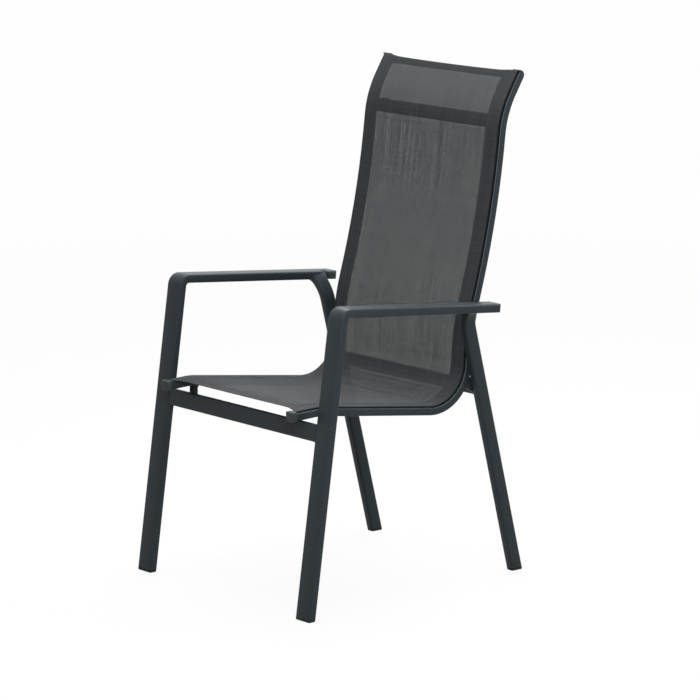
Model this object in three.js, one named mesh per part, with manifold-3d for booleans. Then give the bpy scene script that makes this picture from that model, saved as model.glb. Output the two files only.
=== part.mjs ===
// Sling patio chair: two bent leg-and-arm tubes, two rear legs, two cross bars, and a
// seat-and-back sling stretched between a pair of grooved rails.
// Millimetres. +Z is up, -Y is the chair's front and +X is the sitter's left.

import * as THREE from 'three';
import { mergeVertices } from 'three/addons/utils/BufferGeometryUtils.js';
import Module from 'manifold-3d';

const wasm = await Module();
wasm.setup();

// Fits and tools
const seatGap = 0.3; // between pieces that are welded, plugged or laid together
const overrun = 40; // how far a cutting body runs past what it cuts
const mergeTolerance = 0.0005;

// Front legs and arms: one bent tube on each side
const legWidth = 46.8;
const legDepth = 18.8;
const legCorner = 4.5;
const legWall = 1.8;
const legLeanDegrees = 8.48; // the top leans back
const armDropDegrees = 5.34; // the arm falls towards the rear
const armSpacing = 552; // between the axes of the two arms
const armCornerHeight = 639; // where the axes of leg and arm would meet
const armOverhang = 45.6; // level, from where the rear leg's axis would meet the arm's to the arm's end
const armBendRadius = 17;
const armCapLength = 11;
const armCapCornerAcross = 13;
const armCapCornerAlong = 9;
const armCapEdge = 4.5;
const armPlugDepth = 22;

// Rear legs
const rearLegWidth = 20;
const rearLegDepth = 30.5;
const rearLegCorner = 5;
const rearLegWall = 1.6;
const rearLegLeanDegrees = 13.7; // the top leans forward
const rearLegInset = 4.6; // from the arm's inner side to the leg's outer side
const rearLegBendDrop = 54; // from where its axis would meet the arm's down to its bend
const rearLegBendRadius = 72;
const rearLegBendDegrees = 48;

// Glides under the four feet
const glideHeight = 6;
const glideEdge = 3.2;
const glidePlugHeight = 28;

// Cross bars
const frontBarHeight = 36.3;
const frontBarDepth = 15;
const frontBarCentreHeight = 384.9;
const rearBarHeight = 28;
const rearBarDepth = 15;
const rearBarCentreHeight = 416.2;
const rearBarSetback = 45.5; // level, from the rails' axis to the bar's
const barCorner = 3.5;
const barWall = 1.6;

// Rails: one bent extrusion on each side, seat and back in one
const railWidth = 23.2;
const railHeight = 19;
const railCorner = 2.4;
const railTopCorner = 2.2;
const railWall = 1.6;
const railClearance = 0.8; // between a rail and the rear leg beside it
const railFrontReach = 21.4; // from the front foot's axis
const railFrontHeight = 421.1;
const railFrontRiseDegrees = 2.1;
const seatNoseLength = 47;
const seatNoseRadius = 150;
const seatNoseDegrees = 9.6;
const seatLength = 294.5;
const seatBackRadius = 95;
const seatBackDegrees = 95.3;
const lumbarRadius = 530;
const lumbarDegrees = 14.9;
const shoulderRadius = 1930;
const shoulderDegrees = 10.6;
const headRadius = 206;
const headDegrees = 25.6;
const headLength = 48.4;

// Groove along each rail's outer top edge, with a round bore under it
const lipThickness = 3.2;
const lipHeight = 15.9; // above the rail's underside
const lipChamfer = 0.6;
const grooveWidth = 2.6;
const grooveEdgeRadius = 1.5;
const boreRadius = 3.2;
const boreWall = 2.8;
const boreRise = 0.5; // of the bore's centre above the rail's axis

// Caps on the rails' ends
const railCapLip = 1;
const railCapCorner = 3.6;
const railCapEdge = 2.2;
const railPlugDepth = 16;
const frontCapLength = 11;
const topCapLength = 4; // at the crown of its dome
const topCapShoulder = 1.2; // by which the dome's half ellipse is wider than the cap

// Sling and the rods in its side hems
const slingThickness = 0.9;
const hemRodRadius = 2.9;
const slingFrontReach = 37.6; // its straight front edge, from the front foot's axis
const slingEdgeHalfWidth = 178; // of the straight part of its front and top edges
const slingTopRecess = 4.6; // of its straight top edge below its corners

// Spreader bar behind the head end of the sling
const spreaderHeight = 30;
const spreaderDepth = 14;
const spreaderCorner = 6;
const spreaderWall = 1.5;
const spreaderDrop = 115.4; // along the rail, from its top end

// Tongues on the rails that the spreader bar slides over, and their screws
const tongueReach = 22; // into the bar
const screwRadius = 2;
const screwHeadRadius = 3.8;
const screwHeadHeight = 2.4;
const screwCrownRadius = 2.2;
const screwEdgeHeight = 1;
const screwReach = 8; // into the tongue

// Plates that carry the rails on the cross bars
const plateThickness = 5;
const plateInset = 0.5; // from the rail's outer side
const frontPlateFace = 85.8; // its upright edge, from the front foot's axis
const frontPlateWidth = 19;
const frontPlateRise = 4; // above the bar's axis
const frontPlateDrop = 14;
const frontPlateSlope = 12; // of its lower edge
const frontPlateFlare = 6.5; // by which its rear edge spreads under the rail
const frontPlateFlareDrop = 9;
const rearPlateDrop = 9; // below the bar's axis
const rearPlateRise = 28; // above the bar's axis

// Facets
const cornerSteps = 2;
const fineSteps = 4;
const bendSteps = 12;
const arcStepDegrees = 7;
const gentleSteps = 4;
const wideBendSteps = 6;
const boreArcs = 3;
const screwSides = 12;
const rodSides = 8;

// Surface colours and finishes
const frameFinish = { color: 0x3a4145, roughness: 0.5, metalness: 0.35 };
const plasticFinish = { color: 0x454b4d, roughness: 0.55, metalness: 0 };
const glideFinish = { color: 0x202325, roughness: 0.6, metalness: 0 };
const slingFinish = { color: 0x4d4f51, roughness: 0.8, metalness: 0 };
const rodFinish = { color: 0x9a9c9c, roughness: 0.6, metalness: 0 };
const screwFinish = { color: 0x8d9193, roughness: 0.35, metalness: 0.9 };

// Worked out from the sizes above
const legLean = THREE.MathUtils.degToRad(legLeanDegrees);
const rearLegLean = THREE.MathUtils.degToRad(rearLegLeanDegrees);
const armDrop = THREE.MathUtils.degToRad(armDropDegrees);
const armX = armSpacing / 2;
const armInnerX = armX - legWidth / 2;
const rearLegX = armInnerX - rearLegInset - rearLegWidth / 2;
const rearLegInnerX = rearLegX - rearLegWidth / 2;
const railOuterX = rearLegInnerX - railClearance;
const railInnerX = railOuterX - railWidth;
const railX = railInnerX + railWidth / 2;
const boreCentre = railWidth / 2 - boreWall - boreRadius; // outwards from the rail's axis
const grooveOuter = railWidth / 2 - lipThickness;
const grooveInner = grooveOuter - grooveWidth;
const slingUnderside = railHeight / 2 + seatGap;
const slingTabX = railX + grooveInner + seatGap;
const railCapTop = slingUnderside + slingThickness;
const railCapWidth = railWidth + 2 * railCapLip;
const railCapHeight = railCapTop + railHeight / 2 + railCapLip;
const armCornerReach = armCornerHeight * Math.tan(legLean);

const across = new THREE.Vector3(1, 0, 0);
const up = new THREE.Vector3(0, 0, 1);

// A path of straight and round moves, with stations only where its shape needs them.
class Route extends THREE.Curve {
  constructor(start, heading) {
    super();
    this.places = [start.clone()];
    this.headings = [heading.clone().normalize()];
    this.distances = [0];
  }

  add(place, heading, length) {
    this.places.push(place);
    this.headings.push(heading);
    this.distances.push(this.distances.at(-1) + length);
  }

  line(length) {
    const heading = this.headings.at(-1).clone();
    this.add(this.places.at(-1).clone().addScaledVector(heading, length), heading, length);
    return this;
  }

  turn(axis, radius, angle, steps) {
    const start = this.places.at(-1);
    const heading = this.headings.at(-1);
    const inward = new THREE.Vector3().crossVectors(axis, heading).multiplyScalar(Math.sign(angle));
    const spoke = inward.clone().multiplyScalar(-radius);
    const centre = start.clone().sub(spoke);
    for (let step = 1; step <= steps; step += 1) {
      const turned = (angle * step) / steps;
      const place = spoke.clone().applyAxisAngle(axis, turned).add(centre);
      this.add(place, heading.clone().applyAxisAngle(axis, turned), Math.abs(radius * angle) / steps);
    }
    return this;
  }

  get steps() {
    return this.places.length - 1;
  }

  get length() {
    return this.distances.at(-1);
  }

  getPointAt(share) {
    return this.places[Math.round(share * this.steps)].clone();
  }

  getTangentAt(share) {
    return this.headings[Math.round(share * this.steps)].clone();
  }

  at(distance) {
    let next = this.distances.findIndex((reached) => reached >= distance);
    next = Math.max(next, 1);
    const before = this.distances[next - 1];
    const part = (distance - before) / (this.distances[next] - before);
    const place = this.places[next - 1].clone().lerp(this.places[next], part);
    const heading = this.headings[next - 1].clone().lerp(this.headings[next], part).normalize();
    return { place, heading };
  }

  // The place on the path where a line from a point meets it squarely.
  nearest(point) {
    const away = this.places.map((spot) => spot.distanceTo(point));
    const index = away.indexOf(Math.min(...away));
    const along = point.clone().sub(this.places[index]).dot(this.headings[index]);
    return this.at(this.distances[index] + along);
  }
}

function sweep(shape, route, curveSegments = cornerSteps) {
  return new THREE.ExtrudeGeometry(shape, { steps: route.steps, extrudePath: route, curveSegments });
}

function prism(shape, depth, curveSegments = cornerSteps) {
  return new THREE.ExtrudeGeometry(shape, { depth, bevelEnabled: false, curveSegments });
}

// Moves a geometry into a frame given by its X and Y directions and its origin.
function place(geometry, xAxis, yAxis, origin) {
  const zAxis = new THREE.Vector3().crossVectors(xAxis, yAxis);
  const matrix = new THREE.Matrix4().makeBasis(xAxis, yAxis, zAxis).setPosition(origin);
  return geometry.applyMatrix4(matrix);
}

// The direction up a leg whose top leans back by an angle, and the direction square to it.
function leanUp(angle) {
  return new THREE.Vector3(0, Math.sin(angle), Math.cos(angle));
}

function leanBack(angle) {
  return new THREE.Vector3(0, Math.cos(angle), -Math.sin(angle));
}

function boxBetween(low, high) {
  const size = new THREE.Vector3().subVectors(high, low);
  const middle = new THREE.Vector3().addVectors(low, high).multiplyScalar(1 / 2);
  return new THREE.BoxGeometry(size.x, size.y, size.z).translate(middle.x, middle.y, middle.z);
}

function toSolid(geometry) {
  const bare = geometry.clone();
  bare.deleteAttribute('normal');
  bare.deleteAttribute('uv');
  const merged = mergeVertices(bare, mergeTolerance);
  const vertProperties = new Float32Array(merged.attributes.position.array);
  const triVerts = new Uint32Array(merged.index.array);
  return new wasm.Manifold(new wasm.Mesh({ numProp: 3, vertProperties, triVerts }));
}

function toGeometry(solid) {
  const { vertProperties, triVerts } = solid.getMesh();
  const geometry = new THREE.BufferGeometry();
  geometry.setAttribute('position', new THREE.BufferAttribute(vertProperties, 3));
  geometry.setIndex(new THREE.BufferAttribute(triVerts, 1));
  return geometry;
}

function joined(...geometries) {
  return toGeometry(geometries.map(toSolid).reduce((whole, piece) => whole.add(piece)));
}

function common(...geometries) {
  return toGeometry(geometries.map(toSolid).reduce((whole, piece) => whole.intersect(piece)));
}

function cut(geometry, ...tools) {
  return toGeometry(tools.map(toSolid).reduce((whole, tool) => whole.subtract(tool), toSolid(geometry)));
}

// The same piece on the chair's other side, with its faces still pointing out.
function mirrored(geometry) {
  const copy = mergeVertices(geometry.clone().scale(-1, 1, 1).deleteAttribute('uv'), mergeTolerance);
  const index = copy.index.array;
  for (let corner = 0; corner < index.length; corner += 3) {
    [index[corner], index[corner + 1]] = [index[corner + 1], index[corner]];
  }
  return copy;
}

function roundedRectangle(width, height, radius, path = new THREE.Shape()) {
  const right = width / 2 - radius;
  const top = height / 2 - radius;
  path.absarc(right, -top, radius, -Math.PI / 2, 0);
  path.absarc(right, top, radius, 0, Math.PI / 2);
  path.absarc(-right, top, radius, Math.PI / 2, Math.PI);
  path.absarc(-right, -top, radius, Math.PI, Math.PI * 1.5);
  path.closePath();
  return path;
}

function tubeSection(width, height, radius, wall) {
  const shape = roundedRectangle(width, height, radius);
  const inside = new THREE.Path();
  roundedRectangle(width - 2 * wall, height - 2 * wall, radius - wall, inside);
  shape.holes.push(inside);
  return shape;
}

function plugSection(width, height, radius, wall) {
  const shrink = 2 * (wall + seatGap);
  return roundedRectangle(width - shrink, height - shrink, radius - wall);
}

function below(height) {
  const far = armSpacing + rearFootReach();
  return boxBetween(new THREE.Vector3(-far, -far, -overrun * 2), new THREE.Vector3(far, far, height));
}

function above(height) {
  const far = armSpacing + rearFootReach();
  return boxBetween(new THREE.Vector3(-far, -far, height), new THREE.Vector3(far, far, height + far));
}

// Front leg and arm

function legArmRoute() {
  const corner = new THREE.Vector3(armX, armCornerReach, armCornerHeight);
  const legUp = leanUp(legLean);
  const bend = Math.PI / 2 - legLean + armDrop;
  const toTangent = armBendRadius * Math.tan(bend / 2);
  const start = corner.clone().addScaledVector(legUp, -(armCornerHeight + overrun) / Math.cos(legLean));
  return new Route(start, legUp)
    .line((armCornerHeight + overrun) / Math.cos(legLean) - toTangent)
    .turn(across, armBendRadius, -bend, bendSteps)
    .line((legMeetsArm().y + armOverhang - armCornerReach) / Math.cos(armDrop) - toTangent);
}

function frontLegArm() {
  const tube = sweep(tubeSection(legWidth, legDepth, legCorner, legWall), legArmRoute());
  return cut(tube, below(glideHeight + seatGap));
}

// The space that the leg and arm fill, with the gap that its neighbours keep.
function legArmSpace() {
  const shape = roundedRectangle(legWidth + 2 * seatGap, legDepth + 2 * seatGap, legCorner + seatGap);
  return sweep(shape, legArmRoute());
}

function armEndCap() {
  const end = legArmRoute().places.at(-1);
  const along = leanBack(armDrop);
  const rise = leanUp(armDrop);
  const half = legWidth / 2;
  const flat = half - armCapCornerAcross;
  const plan = new THREE.Shape().moveTo(-half, 0).lineTo(half, 0);
  plan.absellipse(flat, 0, armCapCornerAcross, armCapCornerAlong, 0, Math.PI / 2);
  plan.quadraticCurveTo(0, 2 * armCapLength - armCapCornerAlong, -flat, armCapCornerAlong);
  plan.absellipse(-flat, 0, armCapCornerAcross, armCapCornerAlong, Math.PI / 2, Math.PI);
  plan.closePath();

  const side = roundedRectangle(2 * armCapLength, legDepth, armCapEdge);
  const outline = prism(plan, legDepth, fineSteps).translate(0, 0, -legDepth / 2);
  const ends = place(prism(side, legWidth), new THREE.Vector3(0, 1, 0), up, new THREE.Vector3(-half, 0, 0));
  const section = prism(roundedRectangle(legWidth, legDepth, legCorner), armCapLength + overrun);
  place(section, across, new THREE.Vector3(0, 0, -1), new THREE.Vector3(0, -overrun / 2, 0));
  const head = common(outline, ends, section);

  const plug = prism(plugSection(legWidth, legDepth, legCorner, legWall), armPlugDepth + armCapEdge);
  place(plug, across, new THREE.Vector3(0, 0, -1), new THREE.Vector3(0, -armPlugDepth, 0));
  const origin = end.clone().addScaledVector(along, seatGap);
  return place(joined(head, plug), across, along, origin);
}

// Rear leg

// Where the axis of a rear leg, drawn on without its bend, would meet the axis of the arm.
function legMeetsArm() {
  const drop = Math.tan(armDrop);
  const slope = Math.tan(rearLegLean);
  const height = (armCornerHeight - (rearFootReach() - armCornerReach) * drop) / (1 - slope * drop);
  return new THREE.Vector3(armX, rearFootReach() - height * slope, height);
}

function rearLegRoute() {
  const legUp = leanUp(-rearLegLean);
  const start = new THREE.Vector3(rearLegX, rearFootReach() + overrun * Math.tan(rearLegLean), -overrun);
  const bendAxis = new THREE.Vector3().crossVectors(legUp, across);
  return new Route(start, legUp)
    .line((legMeetsArm().z - rearLegBendDrop + overrun) / Math.cos(rearLegLean))
    .turn(bendAxis, rearLegBendRadius, THREE.MathUtils.degToRad(rearLegBendDegrees), wideBendSteps);
}

function rearLeg() {
  const tube = sweep(tubeSection(rearLegWidth, rearLegDepth, rearLegCorner, rearLegWall), rearLegRoute());
  return cut(tube, below(glideHeight + seatGap), legArmSpace());
}

// Glides: a base with a rounded lower edge, and a plug that follows the leg

function glide(width, depth, corner, wall, lean, foot) {
  const outline = roundedRectangle(width, depth / Math.cos(lean), corner);
  const slab = new THREE.ExtrudeGeometry(outline, {
    depth: glideHeight * 2,
    bevelThickness: glideEdge,
    bevelSize: glideEdge,
    bevelOffset: -glideEdge,
    bevelSegments: 3,
    curveSegments: cornerSteps,
  });
  const shear = new THREE.Matrix4().set(1, 0, 0, 0, 0, 1, Math.tan(lean), 0, 0, 0, 1, 0, 0, 0, 0, 1);
  slab.translate(0, 0, glideEdge).applyMatrix4(shear).translate(foot.x, foot.y, 0);
  const base = cut(slab, above(glideHeight));

  const plug = prism(plugSection(width, depth, corner, wall), glidePlugHeight + overrun);
  const start = foot.clone().addScaledVector(leanUp(lean), -overrun);
  place(plug, across, leanBack(lean), start);
  return joined(base, cut(plug, below(glideHeight / 2)));
}

function frontGlide() {
  return glide(legWidth, legDepth, legCorner, legWall, legLean, new THREE.Vector3(armX, 0, 0));
}

function rearGlide() {
  const foot = new THREE.Vector3(rearLegX, rearFootReach(), 0);
  return glide(rearLegWidth, rearLegDepth, rearLegCorner, rearLegWall, -rearLegLean, foot);
}

// Cross bars, square to the legs that carry them

function frontBarCentre() {
  return new THREE.Vector3(0, frontBarCentreHeight * Math.tan(legLean), frontBarCentreHeight);
}

// The rear bar stands behind the rails at its own height, and the rear legs follow it.
function rearBarCentre() {
  const { places } = railRoute(0);
  const next = places.findLastIndex((spot) => spot.z < rearBarCentreHeight) + 1;
  const [low, high] = [places[next - 1], places[next]];
  const rail = low.clone().lerp(high, (rearBarCentreHeight - low.z) / (high.z - low.z));
  return rail.setY(rail.y + rearBarSetback);
}

function rearFootReach() {
  return rearBarCentre().y + rearBarCentreHeight * Math.tan(rearLegLean);
}

function crossBar(depth, height, lean, centre, reach) {
  const start = centre.clone().setX(-reach);
  return place(prism(tubeSection(depth, height, barCorner, barWall), 2 * reach), leanBack(lean), leanUp(lean), start);
}

function frontCrossbar() {
  return crossBar(frontBarDepth, frontBarHeight, legLean, frontBarCentre(), armInnerX - seatGap);
}

function rearCrossbar() {
  return crossBar(rearBarDepth, rearBarHeight, -rearLegLean, rearBarCentre(), rearLegInnerX - seatGap);
}

// Rail path: a short nose, the seat, the bend, the back and the head end

function arcSteps(degrees) {
  return Math.ceil(degrees / arcStepDegrees);
}

function railRoute(x) {
  const rise = THREE.MathUtils.degToRad(railFrontRiseDegrees);
  const start = new THREE.Vector3(x, railFrontReach, railFrontHeight);
  const turn = (radius, degrees, bend, steps) => [across, radius, bend * THREE.MathUtils.degToRad(degrees), steps];
  return new Route(start, new THREE.Vector3(0, Math.cos(rise), Math.sin(rise)))
    .line(seatNoseLength)
    .turn(...turn(seatNoseRadius, seatNoseDegrees, -1, arcSteps(seatNoseDegrees)))
    .line(seatLength)
    .turn(...turn(seatBackRadius, seatBackDegrees, 1, arcSteps(seatBackDegrees)))
    .turn(...turn(lumbarRadius, lumbarDegrees, -1, gentleSteps))
    .turn(...turn(shoulderRadius, shoulderDegrees, 1, gentleSteps))
    .turn(...turn(headRadius, headDegrees, -1, wideBendSteps))
    .line(headLength);
}

// The rail's section. Its outer side is on the left here, which the path turns to +X.
function railSection() {
  const half = railWidth / 2;
  const top = railHeight / 2;
  const lipTop = lipHeight - top;
  const innerAngle = Math.acos((boreCentre - grooveInner) / boreRadius);
  const outerAngle = Math.acos((boreCentre - grooveOuter) / boreRadius);
  const shape = new THREE.Shape();
  shape.absarc(half - railCorner, railCorner - top, railCorner, -Math.PI / 2, 0);
  shape.absarc(half - railTopCorner, top - railTopCorner, railTopCorner, 0, Math.PI / 2);
  const edge = grooveEdgeRadius;
  shape.absarc(edge - grooveInner, top - edge, edge, Math.PI / 2, Math.PI);
  const sweptAngle = (outerAngle - innerAngle - 2 * Math.PI) / boreArcs;
  for (let arc = 0; arc < boreArcs; arc += 1) {
    const from = innerAngle + arc * sweptAngle;
    shape.absarc(-boreCentre, boreRise, boreRadius, from, from + sweptAngle, true);
  }
  shape.lineTo(-grooveOuter, lipTop);
  shape.lineTo(lipChamfer - half, lipTop);
  shape.lineTo(-half, lipTop - lipChamfer);
  shape.absarc(railCorner - half, railCorner - top, railCorner, Math.PI, Math.PI * 1.5);
  shape.closePath();
  shape.holes.push(chamber(new THREE.Path(), 0));
  return shape;
}

// The hollow beside and under the bore, drawn in by a gap for what is plugged into it.
function chamber(path, gap) {
  const wall = railWall + gap;
  const right = railWidth / 2 - wall;
  const top = railHeight / 2 - wall;
  const beside = boreRadius + wall - boreCentre;
  const under = boreRise - boreRadius - wall;
  path.moveTo(right, -top).lineTo(right, top).lineTo(beside, top);
  path.lineTo(beside, under).lineTo(-right, under).lineTo(-right, -top);
  path.closePath();
  return path;
}

function seatBackRail() {
  return sweep(railSection(), railRoute(railX));
}

// The space that a rail fills, with the gap that its neighbours keep.
function railSpace() {
  const section = roundedRectangle(railWidth + 2 * seatGap, railHeight + 2 * seatGap, railCorner + seatGap);
  return sweep(section, railRoute(railX));
}

// Caps: a head the size of rail and sling together, and a plug in the hollow. The front head is
// pillow-shaped and the top one domed from front to back.

function railCap(head) {
  head.translate(0, railCapTop - railCapHeight / 2, 0);
  const plug = prism(chamber(new THREE.Shape(), seatGap), railPlugDepth + railCapEdge);
  return joined(head, plug.translate(0, 0, -railPlugDepth));
}

function pillowHead(length) {
  const head = new THREE.ExtrudeGeometry(roundedRectangle(railCapWidth, railCapHeight, railCapCorner), {
    depth: length - railCapEdge,
    bevelThickness: railCapEdge,
    bevelSize: railCapEdge,
    bevelOffset: -railCapEdge,
    bevelSegments: 3,
    curveSegments: cornerSteps,
  });
  return cut(head, below(0));
}

function domedHead(length) {
  const side = new THREE.Shape();
  side.absellipse(0, 0, railCapHeight / 2 + topCapShoulder, length, 0, Math.PI);
  side.closePath();
  const start = new THREE.Vector3(-railCapWidth / 2, 0, 0);
  const dome = place(prism(side, railCapWidth, fineSteps), new THREE.Vector3(0, 1, 0), up, start);
  return common(prism(roundedRectangle(railCapWidth, railCapHeight, railCapCorner), length), dome);
}

function railFrontCap() {
  const route = railRoute(railX);
  const heading = route.headings[0].clone().negate();
  const origin = route.places[0].clone().addScaledVector(heading, seatGap);
  const rise = new THREE.Vector3().crossVectors(heading, across);
  const cap = mirrored(railCap(pillowHead(frontCapLength)));
  return place(cap, across, rise, origin);
}

function railTopCap() {
  const route = railRoute(railX);
  const heading = route.headings.at(-1);
  const origin = route.places.at(-1).clone().addScaledVector(heading, seatGap);
  const rise = new THREE.Vector3().crossVectors(across, heading);
  return place(railCap(domedHead(topCapLength)), across.clone().negate(), rise, origin);
}

// Rod in each side hem of the sling, inside the rail's bore

function hemRod() {
  const circle = new THREE.Shape();
  for (let side = 0; side < rodSides; side += 1) {
    const angle = (2 * Math.PI * side) / rodSides;
    const x = hemRodRadius * Math.cos(angle) - boreCentre;
    const y = hemRodRadius * Math.sin(angle) + boreRise;
    if (side === 0) circle.moveTo(x, y);
    else circle.lineTo(x, y);
  }
  circle.closePath();
  return sweep(circle, railRoute(railX));
}

// Sling: flat between the rails, folded over their shoulders and down into the grooves

function slingSection() {
  const tabEnd = boreRise + hemRodRadius + seatGap;
  const inner = grooveEdgeRadius + seatGap;
  const outer = inner + slingThickness;
  const top = slingUnderside + slingThickness;
  const bendX = slingTabX - inner;
  const bendY = slingUnderside - inner;
  const shape = new THREE.Shape();
  shape.moveTo(slingTabX + slingThickness, tabEnd);
  shape.absarc(bendX, bendY, outer, 0, Math.PI / 2);
  shape.lineTo(-bendX, top);
  shape.absarc(-bendX, bendY, outer, Math.PI / 2, Math.PI);
  shape.lineTo(-slingTabX - slingThickness, tabEnd);
  shape.lineTo(-slingTabX, tabEnd);
  shape.absarc(-bendX, bendY, inner, Math.PI, Math.PI / 2, true);
  shape.absarc(bendX, bendY, inner, Math.PI / 2, 0, true);
  shape.lineTo(slingTabX, tabEnd);
  shape.closePath();
  return shape;
}

// What is cut off an end of the sling, so that its straight edge lies back between its corners.
function slingEnd(cornerReach, edgeReach) {
  const edge = slingTabX + slingThickness;
  const outside = cornerReach + Math.sign(cornerReach - edgeReach) * overrun;
  const shape = new THREE.Shape();
  shape.moveTo(-edge, cornerReach).lineTo(-edge, outside).lineTo(edge, outside).lineTo(edge, cornerReach);
  shape.lineTo(slingEdgeHalfWidth, edgeReach).lineTo(-slingEdgeHalfWidth, edgeReach);
  shape.closePath();
  return prism(shape, 2 * overrun).translate(0, 0, -overrun);
}

function sling() {
  const route = railRoute(0);
  const front = slingEnd(railFrontReach, slingFrontReach).translate(0, 0, railFrontHeight);
  const heading = route.headings.at(-1);
  const top = place(slingEnd(0, -slingTopRecess), across, heading, route.places.at(-1));
  return cut(sweep(slingSection(), route), front, top);
}

// Spreader bar, and what holds it: a tongue at each end and a screw from behind

function spreaderFrame() {
  const route = railRoute(0);
  const { place: middle, heading } = route.at(route.length - spreaderDrop);
  const back = new THREE.Vector3().crossVectors(heading, across);
  return { middle, heading, back };
}

function spreaderScrewX() {
  return railInnerX - tongueReach / 2;
}

function spreaderBar() {
  const { middle, heading, back } = spreaderFrame();
  const reach = railInnerX - seatGap;
  const section = tubeSection(spreaderDepth, spreaderHeight, spreaderCorner, spreaderWall);
  const bar = place(prism(section, 2 * reach), back, heading, middle.clone().setX(-reach));
  return cut(bar, screwHole(spreaderScrewX()), screwHole(-spreaderScrewX()));
}

function screwHole(x) {
  const { middle, back } = spreaderFrame();
  const radius = screwRadius + seatGap;
  const length = screwReach + overrun;
  const hole = new THREE.CylinderGeometry(radius, radius, length, screwSides).translate(0, length / 2, 0);
  const bottom = middle.clone().addScaledVector(back, spreaderDepth / 2 - screwReach);
  return place(hole, across, back, bottom.setX(x));
}

function spreaderTongue() {
  const { middle, heading, back } = spreaderFrame();
  const section = plugSection(spreaderDepth, spreaderHeight, spreaderCorner, spreaderWall);
  const start = middle.clone().setX(railInnerX - seatGap - tongueReach);
  const tongue = place(prism(section, tongueReach), back, heading, start);
  return cut(tongue, screwHole(spreaderScrewX()));
}

function spreaderScrew() {
  const { middle, back } = spreaderFrame();
  const profile = [
    new THREE.Vector2(0, -screwReach),
    new THREE.Vector2(screwRadius, -screwReach),
    new THREE.Vector2(screwRadius, 0),
    new THREE.Vector2(screwHeadRadius, 0),
    new THREE.Vector2(screwHeadRadius, screwEdgeHeight),
    new THREE.Vector2(screwCrownRadius, screwHeadHeight),
    new THREE.Vector2(0, screwHeadHeight),
  ];
  const seat = middle.clone().addScaledVector(back, spreaderDepth / 2 + seatGap).setX(spreaderScrewX());
  return place(new THREE.LatheGeometry(profile, screwSides), across, back, seat);
}

// Plates welded between a cross bar's face and the underside of a rail

function plate(points) {
  const shape = new THREE.Shape(points.map((point) => new THREE.Vector2(point.y, point.z)));
  const start = new THREE.Vector3(railOuterX - plateInset - plateThickness, 0, 0);
  const blank = place(prism(shape, plateThickness), new THREE.Vector3(0, 1, 0), up, start);
  return cut(blank, railSpace());
}

function frontRailPlate() {
  const barUp = leanUp(legLean);
  const face = frontBarCentre().addScaledVector(leanBack(legLean), frontBarDepth / 2 + seatGap);
  const low = face.clone().addScaledVector(barUp, -frontPlateDrop);
  const high = face.clone().addScaledVector(barUp, frontPlateRise);
  const rearEdge = frontPlateFace + frontPlateWidth;
  const underRail = railFrontHeight - railHeight / 2;
  return plate([
    low,
    new THREE.Vector3(0, rearEdge, low.z + frontPlateSlope),
    new THREE.Vector3(0, rearEdge, underRail - frontPlateFlareDrop),
    new THREE.Vector3(0, rearEdge + frontPlateFlare, underRail),
    new THREE.Vector3(0, rearEdge + frontPlateFlare, railFrontHeight),
    new THREE.Vector3(0, frontPlateFace, railFrontHeight),
    new THREE.Vector3(0, frontPlateFace, high.z),
    high,
  ]);
}

function rearRailPlate() {
  const barUp = leanUp(-rearLegLean);
  const face = rearBarCentre().addScaledVector(leanBack(-rearLegLean), -rearBarDepth / 2 - seatGap);
  const high = face.clone().addScaledVector(barUp, rearPlateRise);
  const low = face.clone().addScaledVector(barUp, -rearPlateDrop);
  const route = railRoute(0);
  return plate([high, route.nearest(high).place, route.nearest(face).place, route.nearest(low).place, low]);
}

// The chair: pieces on the middle, then pairs of which the right one mirrors the left

const chair = new THREE.Group();

function addMesh(name, geometry, finish) {
  const mesh = new THREE.Mesh(geometry, new THREE.MeshStandardMaterial(finish));
  mesh.name = name;
  chair.add(mesh);
}

function addPair(name, geometry, finish) {
  addMesh(`${name}_left`, geometry, finish);
  addMesh(`${name}_right`, mirrored(geometry), finish);
}

addPair('front_leg_arm', frontLegArm(), frameFinish);
addPair('rear_leg', rearLeg(), frameFinish);
addPair('arm_end_cap', armEndCap(), plasticFinish);
addPair('front_glide', frontGlide(), glideFinish);
addPair('rear_glide', rearGlide(), glideFinish);
addPair('seat_back_rail', seatBackRail(), frameFinish);
addPair('rail_front_cap', railFrontCap(), plasticFinish);
addPair('rail_top_cap', railTopCap(), plasticFinish);
addPair('hem_rod', hemRod(), rodFinish);
addPair('front_rail_plate', frontRailPlate(), frameFinish);
addPair('rear_rail_plate', rearRailPlate(), frameFinish);
addPair('spreader_tongue', spreaderTongue(), frameFinish);
addPair('spreader_screw', spreaderScrew(), screwFinish);
addMesh('front_crossbar', frontCrossbar(), frameFinish);
addMesh('rear_crossbar', rearCrossbar(), frameFinish);
addMesh('spreader_bar', spreaderBar(), frameFinish);
addMesh('sling', sling(), slingFinish);

// The origin is on the floor, under the middle of the chair's box.
const box = new THREE.Box3().setFromObject(chair);
chair.position.set(0, -(box.min.y + box.max.y) / 2, -box.min.z);

export default chair;
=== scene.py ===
import math

import bmesh
import bpy
from mathutils import Matrix, Vector
from mathutils.geometry import tessellate_polygon


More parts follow.
